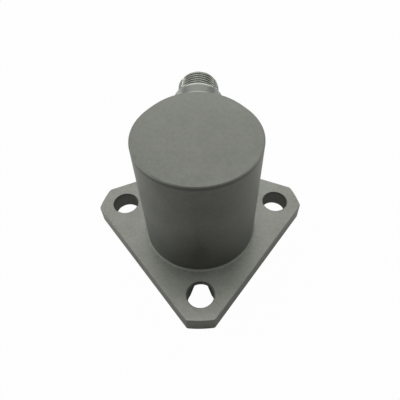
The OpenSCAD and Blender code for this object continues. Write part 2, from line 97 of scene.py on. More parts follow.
# Connector along +Y at this height
AXIS_Z = 30.3
BOSS_R, BOSS_END, BOSS_FILLET = 7.0, 17.0, 0.5
WELD_DEPTH, WELD_PROUD = 0.4, 0.08
SPIGOT_R, SPIGOT_START, BORE_R = 5.5, 9.2, 5.55
SHOULDER_Y, CONNECTOR_END = 21.35, 28.6
SHOULDER_DROP, SHOULDER_BACK = 0.4, 1.2
THREAD_R, THREAD_PITCH, THREAD_DEPTH = 5.555, 0.9407, 0.56
GROOVE_R, GROOVE_W, THREAD_BEVEL = 5.0, 0.8, 0.6
SOCKET_R, SOCKET_FLOOR, SEAL_R = 4.2, 20.8, 3.6
SOCKET_BEVEL = 0.15
WELD_RIPPLES = 54.0

# Points round the body, the bead and a screw hole, and in the two parts of the front hole's circle
ROUND, BEAD_ROUND, HOLE_ROUND = 128, 512, 72
OVER_RELIEF, REST_OF_HOLE = 28, 56

# Columns of points to each side of +Y in the patch of wall round the connector
PATCH_HALF = ROUND // 7


# ---------------------------------------------------------------- node trees

class Term:
    """A socket in a node tree. Arithmetic on terms adds Math nodes to that tree."""

    def __init__(self, bench, socket):
        self.bench, self.socket = bench, socket

    def _math(self, operation, *parts):
        return self.bench.node("ShaderNodeMath", {"operation": operation}, dict(enumerate(parts)))

    def __add__(self, other): return self._math("ADD", self, other)
    def __radd__(self, other): return self._math("ADD", other, self)
    def __sub__(self, other): return self._math("SUBTRACT", self, other)
    def __rsub__(self, other): return self._math("SUBTRACT", other, self)
    def __mul__(self, other): return self._math("MULTIPLY", self, other)
    def __rmul__(self, other): return self._math("MULTIPLY", other, self)
    def __truediv__(self, other): return self._math("DIVIDE", self, other)
    def __pow__(self, other): return self._math("POWER", self, other)
    def cosine(self): return self._math("COSINE", self)
    def sine(self): return self._math("SINE", self)
    def least(self, other): return self._math("MINIMUM", self, other)

    def between(self, low, high):
        """Rises smoothly from 0 at low to 1 at high."""
        return self.bench.node("ShaderNodeMapRange", {"interpolation_type": "SMOOTHSTEP"},
                               {"Value": self, "From Min": low, "From Max": high})


class Bench:
    """Adds nodes to a tree and joins their sockets. place gives a node, and node one of its
    outputs as a term."""

    def __init__(self, tree):
        self.tree = tree

    def place(self, kind, settings=None, values=None):
        node = self.tree.nodes.new(kind)
        for key, value in (settings or {}).items():
            setattr(node, key, value)
        for key, value in (values or {}).items():
            socket = node.inputs[key]
            if isinstance(value, Term):
                self.tree.links.new(value.socket, socket)
            else:
                socket.default_value = value
        return node

    def node(self, kind, settings=None, values=None, out=0):
        return Term(self, self.place(kind, settings, values).outputs[out])

    def rays(self):
        """1 for what the camera sees itself, and 1 for what it sees in metal or through glass."""
        path = self.place("ShaderNodeLightPath")
        straight, glossy, through = (Term(self, path.outputs[name]) for name in (
            "Is Camera Ray", "Is Glossy Ray", "Is Transmission Ray"))
        return straight, (glossy + through).least(1.0)


class Finish(Bench):
    """A material whose colour, roughness and grain are worked out from the object's own space."""

    def __init__(self, name, **fixed):
        self.material = bpy.data.materials.new(name)
        self.material.use_nodes = True
        super().__init__(self.material.node_tree)
        self.tree.nodes.clear()
        self.shader = self.place("ShaderNodeBsdfPrincipled")
        self.out = self.place("ShaderNodeOutputMaterial")
        self.tree.links.new(self.shader.outputs[0], self.out.inputs[0])
        self.where = self.node("ShaderNodeTexCoord", out="Object")
        for socket, value in fixed.items():
            self.shader.inputs[socket.replace("_", " ")].default_value = value

    def feed(self, socket, term):
        self.tree.links.new(term.socket, self.shader.inputs[socket])

    def noise(self, size_mm, detail=2.0, rough=0.5, stretch=(1, 1, 1)):
        """Noise from 0 to 1 whose lumps are about size_mm across."""
        spot = self.where
        if stretch != (1, 1, 1):
            spot = self.node("ShaderNodeMapping", {}, {"Vector": spot, "Scale": stretch})
        return self.node("ShaderNodeTexNoise", {}, {
            "Vector": spot, "Scale": 1 / (size_mm * MM), "Detail": detail, "Roughness": rough})

    def blend(self, share, one, two):
        """Mixes two colours; share is a term from 0 to 1."""
        return self.node("ShaderNodeMix", {"data_type": "RGBA"}, {0: share, 6: one, 7: two}, out=2)

    def grain(self, height, depth_mm):
        self.feed("Normal", self.node("ShaderNodeBump", {}, {
            "Height": height, "Distance": depth_mm * MM, "Strength": 1.0}))

    def on_roundings(self):
        """1 on the faces that Skin.piece has marked as rounded or bevelled."""
        return self.node("ShaderNodeAttribute", {"attribute_name": ROUNDED}, out=2)

    def axes(self):
        """The three coordinates in millimetres."""
        split = self.place("ShaderNodeSeparateXYZ", {}, {0: self.where})
        return [Term(self, out) * (1 / MM) for out in split.outputs]


def away_from(x, y, middle=(0.0, 0.0)):
    """Distance of a term's spot from this middle, in one plane."""
    across, along = x - middle[0], y - middle[1]
    return (across * across + along * along) ** 0.5


def shade(colour, factor):
    """The colour made darker or lighter, with an alpha of 1."""
    return (*(c * factor for c in colour), 1)


# ---------------------------------------------------------------- finishes

STEEL = (0.235, 0.243, 0.216)
TURNED = (0.17, 0.176, 0.158)
ROUNDED = "rounded"


def blasted_steel():
    """Fine matte grain all over and faint patches from handling. The turned wall is painted darker
    than the faces as painted shade, for the dark reflections and the flange's shade on it, most of
    all in a line under the rim and towards its foot. The bevels of the screw holes are painted
    darker as painted shade. Rounded edges are rougher than the rest, and painted a little darker as
    painted shade that tones down their highlights."""
    metal = Finish("blasted_steel", Metallic=0.9)
    x, y, z = metal.axes()
    up, down = z - FLANGE_T, BODY_TOP - z
    patches = metal.noise(6.0, 3.0)
    specks = metal.noise(0.9, 3.0, 0.7)
    lit = metal.blend(0.4 * patches + 0.6 * specks, shade(STEEL, 0.6), shade(STEEL, 1.4))

    # Places, each 1 where it holds
    off_boss = away_from(x, z, (0.0, AXIS_Z)).between(BOSS_R - 0.1, BOSS_R + BOSS_FILLET)
    at_boss = y.between(8.0, 10.0) * (1 - off_boss)
    on_wall = up.between(0.05, 0.55) * down.between(0.2, 0.35) * (1 - at_boss)
    under_rim = 1 - down.between(0.8, 1.4)
    at_foot = 1 - up.between(-0.2, 18.8)
    on_top_edge = 1 - down.between(0.1, 0.25)
    bevel = HOLE_R + HOLE_BEVEL
    off_left, off_right, off_front = (
        away_from(x, y, hole).between(bevel, bevel + 0.04) for hole in [*SIDE_HOLES, FRONT_HOLE])
    # Painted shade: the screw holes' bevels are darkened as shade at the holes' edges.
    in_bevel = (1 - off_left * off_right * off_front) * up.between(-0.6, -0.25) * (1 - on_wall)
    on_bulge = up.between(FOOT_FILLET, FOOT_FILLET + 0.2) * down.between(RIM_BREAK, RIM_BREAK + 0.1)
    # Painted shade: rounded edges are darkened to tone down the lamps' highlights along them,
    # besides being rougher.
    on_edge = metal.on_roundings() * (1 - on_bulge)

    # Painted shade: the wall, the line under its rim, its foot, the hole bevels and the rounded
    # edges are darkened here for shade and dark reflections. The top face is made darker too.
    darker = (on_wall * (0.3 + 0.3 * under_rim + 0.35 * at_foot) + in_bevel * 0.6
              + on_top_edge * 0.36 + on_edge * 0.25 * down.between(0.6, 1.1))
    metal.feed("Base Color", metal.blend(darker, lit, shade(STEEL, 0.2)))
    metal.feed("Roughness", 0.33 + 0.1 * patches + 0.12 * specks + 0.3 * on_edge)
    metal.grain(metal.noise(0.16, 2.0) + 0.5 * metal.noise(0.07, 1.0), 0.012)
    return metal.material


def turned_steel():
    """Fine rings left by the lathe round the connector's axis. The thread is smoother and painted
    brighter as a painted highlight, with painted shade between its ridges, and the edge of the
    shoulder before it is polished and painted brighter as a painted highlight."""
    metal = Finish("turned_steel", Metallic=0.9)
    x, y, z = metal.axes()
    radius = away_from(x, z, (0.0, AXIS_Z))
    outside = radius.between(SOCKET_R + 0.1, SOCKET_R + 0.3)
    on_thread = y.between(SHOULDER_Y - 0.05, SHOULDER_Y + 0.15) * outside
    # Painted shade between the thread's ridges.
    groove_shade = on_thread * 0.9 * (1 - radius.between(THREAD_R - 0.4, THREAD_R - 0.02))
    past_collar = y.between(SHOULDER_Y - SHOULDER_BACK - 0.2, SHOULDER_Y - SHOULDER_BACK + 0.3)
    on_edge = past_collar * (1 - on_thread) * radius.between(BOSS_R - 0.8, BOSS_R - 0.7)
    rings = metal.noise(0.22, 2.0, 0.6, stretch=(0.02, 1, 0.02))
    patches = metal.noise(3.0, 2.0)
    lit = metal.blend(rings * 0.5 + patches * 0.5, shade(TURNED, 0.85), shade(TURNED, 1.15))
    # Painted highlight: the thread and the shoulder's polished edge are painted brighter for the
    # bright reflections on them.
    lit = metal.blend(0.6 * on_thread + 0.5 * on_edge, lit, shade(TURNED, 2.5))
    metal.feed("Base Color", metal.blend(groove_shade, lit, shade(TURNED, 0.15)))
    metal.feed("Roughness", 0.34 + 0.1 * patches - 0.1 * on_thread - 0.18 * on_edge)
    metal.grain(rings, 0.008)
    return metal.material


def plain_finish(name, colour, metallic, rough, grain_mm=0.3, depth_mm=0.006, swing=0.1, **fixed):
    """A finish for a piece inside: a grain of its own size and a small swing in tone."""
    stuff = Finish(name, Metallic=metallic, **fixed)
    grain = stuff.noise(grain_mm, 3.0)
    patches = stuff.noise(grain_mm * 12, 2.0)
    dark, light = shade(colour, 1 - swing), shade(colour, 1 + swing)
    stuff.feed("Base Color", stuff.blend(0.5 * grain + 0.5 * patches, dark, light))
    stuff.feed("Roughness", rough - 0.05 + 0.1 * grain)
    stuff.grain(grain, depth_mm)
    return stuff.material


def weld_steel():
    """The weld: smoother than the rest, with a faint straw tint in places."""
    metal = Finish("weld_steel", Metallic=0.8)
    patches = metal.noise(2.5, 2.0)
    metal.feed("Base Color", metal.blend(patches, (0.25, 0.255, 0.235, 1), (0.29, 0.285, 0.255, 1)))
    metal.feed("Roughness", 0.3 + 0.12 * metal.noise(0.4, 2.0))
    metal.grain(metal.noise(0.2, 2.0), 0.006)
    return metal.material


FINISHES = {
    "body_steel": blasted_steel(),
    "connector_steel": turned_steel(),
    "weld_steel": weld_steel(),
    "sheet_steel": plain_finish("rolled_sheet", (0.4, 0.4, 0.38), 0.9, 0.3, 0.2),
    "inner_steel": plain_finish("machined_steel", (0.36, 0.36, 0.35), 0.85, 0.34),
    "mass_metal": plain_finish("heavy_metal", (0.16, 0.16, 0.17), 0.8, 0.42),
    "crystal": plain_finish("crystal", (0.6, 0.55, 0.4), 0.0, 0.35, 0.15, 0.003),
    "insulator_ceramic": plain_finish(
        "ceramic", (0.76, 0.74, 0.68), 0.0, 0.55, 0.12, 0.004, 0.05),
    "electrode_metal": plain_finish("gilt_foil", (0.68, 0.48, 0.2), 0.95, 0.3, 0.2),
    "contact_metal": plain_finish("gilt_pin", (0.72, 0.52, 0.22), 0.95, 0.22, 0.15),
    "seal_glass": plain_finish(
        "seal_glass", (0.05, 0.09, 0.08), 0.0, 0.12, 0.5, 0.002, Coat_Weight=0.5),
}


# ---------------------------------------------------------------- meshes

def round_points(radius, count=ROUND, centre=(0.0, 0.0), start=0.0, sweep=2 * pi):
    """Points on a circle, or on an arc without its last point."""
    return [(centre[0] + radius * cos(start + sweep * k / count),
             centre[1] + radius * sin(start + sweep * k / count)) for k in range(count)]


def quarter(radius, steps=5):
    """Steps of a rounded edge, each with its distance from the far face and from the near one."""
    turns = [pi / 2 * k / steps for k in range(steps + 1)]
    return [(radius * (1 - sin(t)), radius * (1 - cos(t))) for t in turns]


def add(name, data):
    """A new object in the scene."""
    thing = bpy.data.objects.new(name, data)
    bpy.context.scene.collection.objects.link(thing)
    return thing


def made_mesh(thing):
    """What an object's modifiers make, as a plain mesh."""
    made = thing.evaluated_get(bpy.context.evaluated_depsgraph_get())
    mesh = bpy.data.meshes.new_from_object(made)
    mesh.name = thing.name
    return mesh


def within(rim, spot):
    """Whether a spot of the drawing plane lies inside a rim."""
    inside = False
    for one, two in zip(rim, rim[1:] + rim[:1]):
        if (one.y > spot.y) != (two.y > spot.y):
            if spot.x < one.x + (two.x - one.x) * (spot.y - one.y) / (two.y - one.y):
                inside = not inside
    return inside


class Skin:
    """Gathers rings of points and the faces between them into one closed mesh. A fill triangulates
    the space between rings, also on a wall, which it draws flat."""

    def __init__(self):
        self.bm = bmesh.new()

    def ring(self, points):
        return [self.bm.verts.new(p) for p in points]

    def level(self, points, z):
        return self.ring([(x, y, z) for x, y in points])

    def face(self, *corners):
        if len(set(corners)) > 2:
            self.bm.faces.new(corners)

    def strip(self, one, two):
        count = len(one)
        for k in range(count):
            self.face(one[k], one[(k + 1) % count], two[(k + 1) % count], two[k])

    def band(self, one, two):
        """Faces between two open rows."""
        for a, b, c, d in zip(one, one[1:], two[1:], two):
            self.face(a, b, c, d)

    def strips(self, rings):
        for one, two in zip(rings, rings[1:]):
            self.strip(one, two)

    def fill(self, loops, flat, bend=None, spots=()):
        """Fills the space inside the first loop and outside the others. flat gives a vertex's
        place on the drawing plane, and bend lifts further spots of that plane onto the surface."""
        verts = [v for loop in loops for v in loop]
        drawn = [Vector(flat(v.co)) for v in verts] + [Vector(p) for p in spots]
        verts += [self.bm.verts.new(bend(p)) for p in spots]
        edges, start = [], 0
        for loop in loops:
            edges += [(start + k, start + (k + 1) % len(loop)) for k in range(len(loop))]
            start += len(loop)
        found = delaunay_2d_cdt(drawn, edges, [], 1, 1e-7)
        rims, start = [], len(loops[0])
        for loop in loops[1:]:
            rims.append(drawn[start:start + len(loop)])
            start += len(loop)
        for corners in found[2]:
            middle = sum((found[0][k] for k in corners), Vector((0, 0))) / len(corners)
            if not any(within(rim, middle) for rim in rims):
                self.face(*(verts[found[3][k][0]] for k in corners))

    def cap(self, loop):
        self.bm.faces.new(loop)

    def piece(self, name, slot, sharp=32):
        """Closes the mesh, turns its faces outwards and gives it the slot's finish."""
        bmesh.ops.remove_doubles(self.bm, verts=self.bm.verts, dist=2e-4)
        bmesh.ops.dissolve_degenerate(self.bm, edges=self.bm.edges, dist=1e-5)
        bmesh.ops.recalc_face_normals(self.bm, faces=self.bm.faces)
        bmesh.ops.scale(self.bm, vec=(MM, MM, MM), verts=self.bm.verts)
        mesh = bpy.data.meshes.new(name)
        self.bm.to_mesh(mesh)
        self.bm.free()
        mesh.materials.append(FINISHES[slot])
        rounded = mesh.attributes.new(ROUNDED, "FLOAT", "FACE")
        for face in mesh.polygons:
            face.use_smooth = True
            rounded.data[face.index].value = float(0.1 < abs(face.normal.z) < 0.97)
        mesh.set_sharp_from_angle(angle=radians(sharp))
        thing = add(name, mesh)
        weight = thing.modifiers.new("weight", "WEIGHTED_NORMAL")
        weight.keep_sharp = True
        weight.weight = 80
        thing.data = made_mesh(thing)
        thing.modifiers.clear()
        return thing


# ---------------------------------------------------------------- housing

def backwards(one, two):
    """The turn from angle one clockwise to angle two."""
    return (two - one) % (2 * pi) - 2 * pi


def flange_corner(k):
    """Centre and radius of the rounding after edge k, and the angles where it starts and ends."""
    angle, reach, radius, lobe = FLANGE_EDGES[k]
    turn, far, _, lobe_next = FLANGE_EDGES[(k + 1) % len(FLANGE_EDGES)]
    one, two = radians(angle), radians(turn)
    if not lobe and not lobe_next:
        near, far = reach - radius, far - radius
        centre = Vector((near * sin(two) - far * sin(one), far * cos(one) - near * cos(two)))
        return centre / sin(two - one), radius, one, two
    square, away, way = (two, far, 1) if lobe else (one, reach, -1)
    foot = (away - radius) * Vector((cos(square), sin(square)))
    along = Vector((-sin(square), cos(square)))
    middle = along.dot(LOBE_CENTRE)
    off = middle ** 2 - (foot - LOBE_CENTRE).length_squared + (LOBE_R - radius) ** 2
    centre = foot + (middle + way * sqrt(off)) * along
    out = atan2(centre.y - LOBE_CENTRE.y, centre.x - LOBE_CENTRE.x)
    return (centre, radius, out, two) if lobe else (centre, radius, one, out)


def flange_path(inset):
    """Outline of the flange, moved inwards by inset."""
    points = []
    for k in range(len(FLANGE_EDGES)):
        after = (k + 1) % len(FLANGE_EDGES)
        centre, radius, one, two = flange_corner(k)
        steps = 12 if radius > 1 else 8
        points += round_points(radius - inset, steps, centre, one, backwards(one, two))
        points += round_points(radius - inset, 1, centre, two)
        if FLANGE_EDGES[after][3]:
            sweep = backwards(two, flange_corner(after)[2])
            points += round_points(LOBE_R - inset, 8, LOBE_CENTRE, two, sweep)[1:]
    return points


def hole_path(grow, centre):
    return round_points(HOLE_R + grow, HOLE_ROUND, centre)


def relief_turn(grow=0.0):
    """Angle at which the relief's right side leaves the front hole's circle."""
    return RELIEF_LEAN + acos((RELIEF_START + grow) / (HOLE_R + grow))


def rest_of_hole(grow, turn):
    """The front hole's circle, but for what lies over the relief."""
    return round_points(HOLE_R + grow, REST_OF_HOLE, FRONT_HOLE, pi - turn, pi + 2 * turn)


def front_hole_path(grow):
    """The front hole's circle, with a point where each side of the relief leaves it."""
    turn = relief_turn()
    over = round_points(HOLE_R + grow, OVER_RELIEF, FRONT_HOLE, turn, pi - 2 * turn)
    return over + rest_of_hole(grow, turn)


def relief_path(grow):
    """The relief's sides and rounded end, then the rest of the hole's circle."""
    turn = relief_turn(grow)
    x, y = FRONT_HOLE
    middle, radius = (x, y + RELIEF_REACH), RELIEF_END + grow
    corner = round_points(HOLE_R + grow, 1, FRONT_HOLE, turn)
    end = round_points(radius, 20, middle, RELIEF_LEAN, pi - 2 * RELIEF_LEAN)
    last = round_points(radius, 1, middle, pi - RELIEF_LEAN)
    return corner + end + last, rest_of_hole(grow, turn)


def round_wall(skin, low, high):
    """A round wall from ring low to ring high, but for the patch of columns round +Y."""
    count = len(low)
    first, last = count // 4 - PATCH_HALF, count // 4 + PATCH_HALF
    for k in range(last, count + first):
        one, two = k % count, (k + 1) % count
        skin.face(low[one], low[two], high[two], high[one])
    return first, last


def wall_patch(skin, radius, loops, opening, rows):
    """Closes the gap that round_wall leaves. The patch bends with the wall and goes round the
    opening, with spots of its own wherever they keep clear of it."""
    flat = lambda co: (radius * atan2(co.y, co.x), co.z)
    bend = lambda p: (radius * cos(p[0] / radius), radius * sin(p[0] / radius), p[1])
    drawn = [flat(v.co) for v in opening]
    middle = radius * pi / 2
    clear = 0.5
    wide = max(abs(s - middle) for s, z in drawn) + clear
    tall = max(abs(z - AXIS_Z) for s, z in drawn) + clear
    z_low, z_high = (pick(v.co.z for v in loops[0]) for pick in (min, max))
    spots = []
    for row in range(1, rows):
        z = z_low + (z_high - z_low) * row / rows
        for k in range(1 - PATCH_HALF, PATCH_HALF):
            s = middle + radius * 2 * pi * k / ROUND
            if ((s - middle) / wide) ** 2 + ((z - AXIS_Z) / tall) ** 2 > 1:
                spots.append((s, z))
    skin.fill(loops, flat, bend, spots)


def on_boss(radius, turn, y):
    """A point at this radius and turn round the connector's axis."""
    return (radius * cos(turn), y, AXIS_Z + radius * sin(turn))


def boss_fillet(steps=6):
    """Rings of the fillet between body and boss: a ball rolls in the corner between them."""
    rings = [[] for _ in range(steps + 1)]
    away, out = BOSS_R + BOSS_FILLET, BODY_R + BOSS_FILLET
    for k in range(ROUND):
        turn = 2 * pi * k / ROUND
        x = away * cos(turn)
        ball = Vector((x, sqrt(out * out - x * x), AXIS_Z + away * sin(turn)))
        foot = Vector((ball.x * BODY_R / out, ball.y * BODY_R / out, ball.z)) - ball
        side = Vector(on_boss(BOSS_R, turn, ball.y)) - ball
        for step in range(steps + 1):
            rings[step].append(ball + BOSS_FILLET * foot.slerp(side, step / steps).normalized())
    return rings


def swell(skin):
    """Lets the wall and the top's rim swell towards the connector. The boss keeps its end."""
    boss_keeps = BOSS_END - 1.2 * WELD_DEPTH
    for v in skin.bm.verts:
        x, y, z = v.co
        on_wall = hypot(x, y) > BODY_R - 2 * RIM_BREAK and 0 < y < boss_keeps
        if z > FLANGE_T + FOOT_FILLET and on_wall and abs(x) < BULGE_R:
            sunk = BULGE_R - BULGE_SINK * max(0.0, BULGE_LOW - z) / BULGE_FADE
            bulge = BODY_R + BULGE_OUT - BULGE_R + sqrt(max(0.0, sunk * sunk - x * x))
            beyond = bulge - sqrt(BODY_R ** 2 - x * x)
            v.co.y += BULGE_SOFT * log(1 + exp(beyond / BULGE_SOFT))


def connector_way(skin, low):
    """Upper bore and its ceiling, with the cross bore that starts on the body's axis and cuts
    both. Gives the cross bore's mouth in the boss."""
    high = skin.level(round_points(UPPER_BORE_R), CAVITY_TOP)
    turn = asin((CAVITY_TOP - AXIS_Z) / BORE_R)
    edge_x = BORE_R * cos(turn)
    edge_y = sqrt(UPPER_BORE_R ** 2 - edge_x ** 2)
    steps_over, steps_under = 36, ROUND - 36
    over = [turn + (pi - 2 * turn) * k / steps_over for k in range(steps_over + 1)]
    under = [pi - turn + (pi + 2 * turn) * k / steps_under for k in range(steps_under + 1)]
    mouth = skin.ring([on_boss(BORE_R, t, BOSS_END) for t in over[:-1] + under[:-1]])
    trough, trough_end = (skin.ring([on_boss(BORE_R, t, y) for t in over]) for y in (edge_y, 0.0))
    lip = skin.ring([on_boss(BORE_R, t, sqrt(UPPER_BORE_R ** 2 - (BORE_R * cos(t)) ** 2))
                     for t in under])
    skin.band(mouth[:steps_over + 1], trough)
    skin.band(trough, trough_end)
    skin.cap(trough_end)
    skin.band(mouth[steps_over:] + mouth[:1], lip)
    first, last = round_wall(skin, low, high)
    right = int(atan2(edge_y, edge_x) / (2 * pi) * ROUND)
    left = ROUND // 2 - right
    rim = low[first:last + 1] + high[left:last + 1][::-1] + lip + high[first:right + 1][::-1]
    wall_patch(skin, UPPER_BORE_R, [rim], lip, rows=8)
    skin.fill([high[left:] + high[:right + 1] + [lip[-1], trough_end[0], trough_end[-1], lip[0]]],
              lambda co: (co.x, co.y))
    return mouth


def edge_rings(skin, path, radius, steps=5):
    """Rings of a path's rounded edges in the flange, from its top face down and from below up."""
    rows = quarter(radius, steps)
    return ([skin.level(path(back), FLANGE_T - down) for back, down in rows],
            [skin.level(path(back), down) for back, down in rows])


def housing():
    """Flange, body and boss in one skin, from the outside in."""
    skin = Skin()
    flat = lambda co: (co.x, co.y)

    # Outside of the flange
    top, bottom = edge_rings(skin, flange_path, EDGE_BREAK)
    skin.strips(top + bottom[::-1])

    # Two plain screw holes
    top_rims, bottom_rims = [top[0]], [bottom[0]]
    for centre in SIDE_HOLES:
        upper, lower = edge_rings(skin, lambda back: hole_path(back, centre), HOLE_BEVEL, 1)
        skin.strips(upper + lower[::-1])
        top_rims.append(upper[0])
        bottom_rims.append(lower[0])

    # Front hole: a full circle above, widened towards the body below
    upper = [skin.level(front_hole_path(back), FLANGE_T - down)
             for back, down in quarter(HOLE_BEVEL, 1)]
    circle = skin.level(front_hole_path(0), RELIEF_ROOF)
    skin.strips(upper + [circle])
    side, _ = relief_path(0)
    roof_side = skin.level(side, RELIEF_ROOF)
    lower = [skin.level(sum(relief_path(back), []), down) for back, down in quarter(HOLE_BEVEL, 1)]
    skin.strips([roof_side + circle[OVER_RELIEF:]] + lower[::-1])
    skin.fill([roof_side[1:] + circle[OVER_RELIEF::-1]], flat)
    top_rims.append(upper[0])
    bottom_rims.append(lower[0])

    # Body: fillet at its foot, wall with the boss, rounded rim and top face
    foot = [skin.level(round_points(BODY_R + back), FLANGE_T + down)
            for back, down in quarter(FOOT_FILLET, 8)]
    skin.strips(foot)
    rim = [skin.level(round_points(BODY_R - back), BODY_TOP - down)
           for down, back in quarter(RIM_BREAK)]
    skin.strips(rim)
    skin.cap(rim[-1])
    fillet = [skin.ring(points) for points in boss_fillet()]
    first, last = round_wall(skin, foot[-1], rim[0])
    around = foot[-1][first:last + 1] + rim[0][first:last + 1][::-1]
    wall_patch(skin, BODY_R, [around, fillet[0]], fillet[0], rows=14)
    boss = [skin.ring([on_boss(radius, 2 * pi * k / ROUND, y) for k in range(ROUND)])
            for radius, y in ((BOSS_R, BOSS_END - WELD_DEPTH), (BOSS_R - WELD_DEPTH, BOSS_END))]
    skin.strips(fillet + boss)
    swell(skin)
    top_rims.append(foot[0])
    skin.fill(top_rims, flat)

    # Inside, from below: seat of the diaphragm, bores, dowel hole and the way to the connector
    seat = [skin.level(round_points(radius), z) for radius, z in (
        (SEAT_R, 0), (SEAT_R, SEAT_DEPTH), (LOWER_BORE_R, SEAT_DEPTH), (LOWER_BORE_R, SHOULDER_Z))]
    skin.strips(seat)
    bottom_rims.append(seat[0])
    skin.fill(bottom_rims, flat)
    upper_low = skin.level(round_points(UPPER_BORE_R), SHOULDER_Z)
    dowel = [skin.level(round_points(DOWEL_R, 16, DOWEL_AT), z)
             for z in (SHOULDER_Z, SHOULDER_Z + DOWEL_DEPTH)]
    skin.strip(*dowel)
    skin.cap(dowel[1])
    skin.fill([seat[-1], upper_low, dowel[0]], flat)
    mouth = connector_way(skin, upper_low)
    skin.fill([boss[-1], mouth], lambda co: (co.x, co.z))
    return skin.piece("turned_housing", "body_steel")


# ---------------------------------------------------------------- connector

def grow_tree(name, sizes, make):
    """A Geometry Nodes tree with named sizes, which ends in Realize Instances and Set Material."""
    tree = bpy.data.node_groups.new(name, "GeometryNodeTree")
    tree.interface.new_socket("Geometry", in_out="OUTPUT", socket_type="NodeSocketGeometry")
    for label in sizes:
        tree.interface.new_socket(label, in_out="INPUT", socket_type="NodeSocketFloat")
    tree.interface.new_socket("Finish", in_out="INPUT", socket_type="NodeSocketMaterial")
    bench = Bench(tree)
    given = bench.place("NodeGroupInput")
    inputs = {label: Term(bench, given.outputs[label]) for label in [*sizes, "Finish"]}
    grown = make(bench, inputs)
    loose = bench.node("GeometryNodeRealizeInstances", {}, {0: grown})
    coated = bench.node("GeometryNodeSetMaterial", {}, {
        "Geometry": loose, "Material": inputs["Finish"]})
    bench.place("NodeGroupOutput", {}, {0: coated})
    return tree


def grown_mesh(name, sizes, slot, make):
    """Runs such a tree once and gives its mesh."""
    tree = grow_tree(name, sizes, make)
    thing = add(name, bpy.data.meshes.new(name))
    grow = thing.modifiers.new(name, "NODES")
    grow.node_group = tree
    sockets = {item.name: item.identifier for item in tree.interface.items_tree
               if item.in_out == "INPUT"}
    for label, value in sizes.items():
        grow[sockets[label]] = float(value)
    grow[sockets["Finish"]] = FINISHES[slot]
    mesh = made_mesh(thing)
    bpy.data.objects.remove(thing)
    return mesh


def sleeve(bench, around, along, surface):
    """A grid wrapped round the connector's axis. From a turn and a share of the length, surface
    gives the radius and the place along the axis."""
    grid = bench.place("GeometryNodeMeshGrid", {}, {
        "Size X": 1.0, "Size Y": 1.0, "Vertices X": around + 1, "Vertices Y": along + 1})
    spot = bench.place("ShaderNodeSeparateXYZ", {}, {0: bench.node("GeometryNodeInputPosition")})
    turn = (Term(bench, spot.outputs[0]) + 0.5) * (2 * pi)
    share = Term(bench, spot.outputs[1]) + 0.5
    radius, place = surface(turn, share)
    moved = bench.node("ShaderNodeCombineXYZ", {}, {
        0: radius * turn.cosine(), 1: place, 2: radius * turn.sine() + AXIS_Z})
    wrapped = bench.node("GeometryNodeSetPosition", {}, {
        "Geometry": Term(bench, grid.outputs[0]), "Position": moved})
    return bench.node("GeometryNodeMergeByDistance", {}, {"Geometry": wrapped, "Distance": 1e-4})


def thread(bench, given):
    """The screw thread: rounded ridges on a helix that fade out at the groove and at the bevel."""
    def surface(turn, share):
        place = given["Start"] + (given["End"] - given["Start"]) * share
        wave = 0.5 + 0.5 * ((place / given["Pitch"]) * (2 * pi) - turn).cosine()
        ridge = given["Crest"] - given["Depth"] * (1 - wave.between(0.12, 0.88))
        bevel = given["Crest"] - given["Bevel"] + (given["End"] - place)
        fade = given["Crest"] - given["Depth"] + (place - given["Start"])
        return ridge.least(bevel).least(fade), place
    return sleeve(bench, ROUND, 110, surface)


def ripples(bench, given):
    """The bead's face: low and round, with the scale-like ripples of a beam that went round."""
    def surface(turn, share):
        side = 2 * share - 1
        arch = 1 - side * side
        beat = (turn * given["Ripples"] + side * side * 2.4).cosine()
        radius = given["Radius"] + given["Proud"] * arch * (0.82 + 0.18 * beat)
        return radius, given["Middle"] + given["Half width"] * side
    return sleeve(bench, BEAD_ROUND, 8, surface)


def revolved(skin, profile, count=ROUND):
    """Rings round the connector's axis through the profile's (radius, y) points."""
    skin.strips([skin.ring([on_boss(radius, 2 * pi * k / count, y) for k in range(count)])
                 for radius, y in profile])


def connector_shell():
    """Collar, shoulder and socket as one turned profile, closed by the thread."""
    skin = Skin()
    start = SHOULDER_Y + GROOVE_W
    shoulder = [(BOSS_R - SHOULDER_DROP * drop, SHOULDER_Y - SHOULDER_BACK * back)
                for back, drop in quarter(1, 6)]
    revolved(skin, [
        (THREAD_R - THREAD_BEVEL, CONNECTOR_END), (SOCKET_R + SOCKET_BEVEL, CONNECTOR_END),
        (SOCKET_R, CONNECTOR_END - SOCKET_BEVEL), (SOCKET_R, SOCKET_FLOOR), (SEAL_R, SOCKET_FLOOR),
        (SEAL_R, SPIGOT_START), (SPIGOT_R, SPIGOT_START), (SPIGOT_R, BOSS_END),
        (BOSS_R - WELD_DEPTH, BOSS_END), (BOSS_R, BOSS_END + WELD_DEPTH),
        *shoulder, (GROOVE_R, SHOULDER_Y), (THREAD_R - THREAD_DEPTH, start),
    ])
    ridge = grown_mesh("screw_thread", {
        "Start": start, "End": CONNECTOR_END, "Pitch": THREAD_PITCH, "Crest": THREAD_R,
        "Depth": THREAD_DEPTH, "Bevel": THREAD_BEVEL}, "connector_steel", thread)
    skin.bm.from_mesh(ridge)
    return skin.piece("threaded_connector", "connector_steel", 40)


def weld():
    """The bead in the groove between boss and collar."""
    skin = Skin()
    revolved(skin, [(BOSS_R, BOSS_END - WELD_DEPTH), (BOSS_R - WELD_DEPTH, BOSS_END),
                    (BOSS_R, BOSS_END + WELD_DEPTH)], BEAD_ROUND)
    bead = grown_mesh("weld_bead", {
        "Radius": BOSS_R, "Proud": WELD_PROUD, "Middle": BOSS_END, "Half width": WELD_DEPTH,
        "Ripples": WELD_RIPPLES}, "weld_steel", ripples)
    skin.bm.from_mesh(bead)
    return skin.piece("rippled_weld", "weld_steel", 50)


# ---------------------------------------------------------------- assembly

